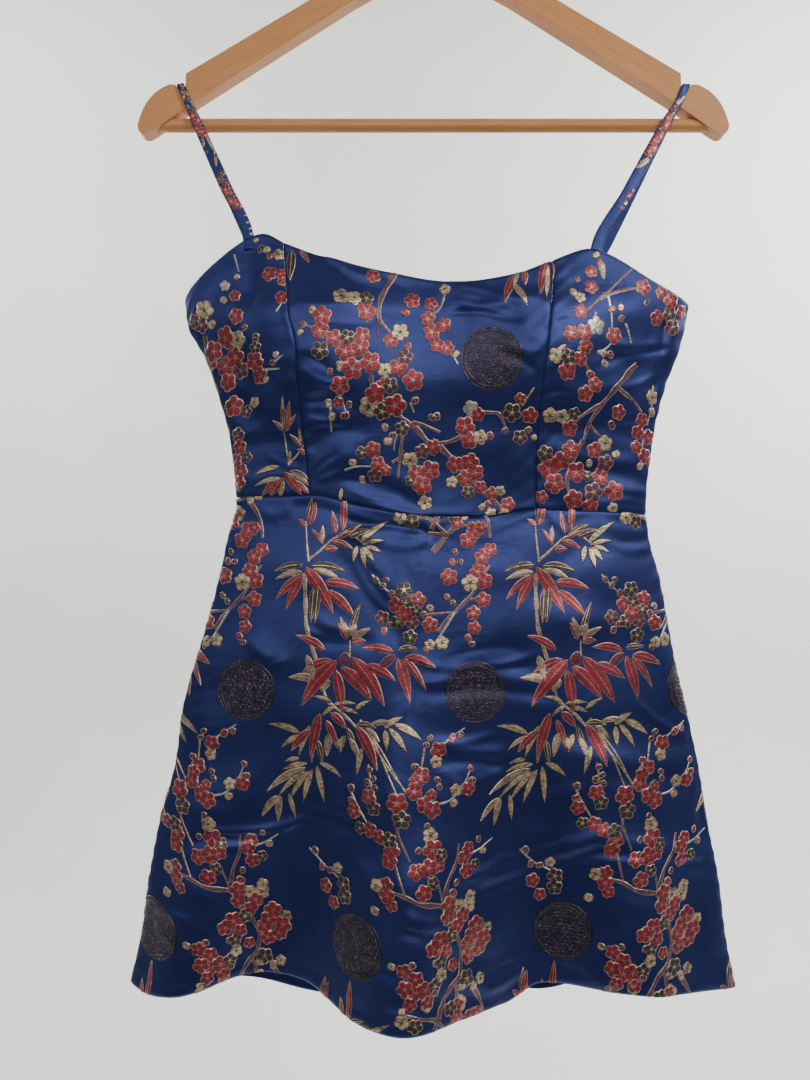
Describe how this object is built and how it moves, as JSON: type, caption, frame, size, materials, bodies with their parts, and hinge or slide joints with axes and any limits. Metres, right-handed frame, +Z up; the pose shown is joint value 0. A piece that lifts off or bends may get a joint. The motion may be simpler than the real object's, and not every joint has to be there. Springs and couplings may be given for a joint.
{
  "type": "cheongsam-style satin slip dress on a wooden hanger",
  "caption": "Short blue satin slip dress in the cheongsam style, woven with plum blossom and bamboo, hanging flat from a wooden hanger with a trouser bar.",
  "frame": {"origin": "inside of the hook's bend, where the rail carries the hanger", "axes": "+Z up along the hook's stem, +X to the right of someone looking at the dress's front, +Y away from them"},
  "size_m": [0.4512, 0.1016, 0.8659],
  "materials": {
    "satin": "royal blue satin with woven red, gold and brown flowers and bamboo",
    "wood": "clear varnish",
    "steel": "bright drawn wire",
    "zip_metal": "navy enamel"
  },
  "bodies": {
    "root": {"centre_front": "satin", "side_front_left": "satin", "side_front_right": "satin", "back_left": "satin", "back_right": "satin", "skirt_front": "satin", "skirt_back_left": "satin", "skirt_back_right": "satin", "strap_left": "satin", "strap_right": "satin", "hanger_arms": "wood", "hanger_bar": "wood", "hanger_hook": "steel", "zip_slider": "zip_metal"},
    "zip_pull": {"zip_pull": "zip_metal"}
  },
  "joints": [
    {"name": "zip_pull_swing", "type": "hinge", "parent": "root", "child": "zip_pull", "pos_m": [0, 0.02488, -0.3442], "axis": [1, 0, 0], "range_deg": [0, 170]}
  ]
}
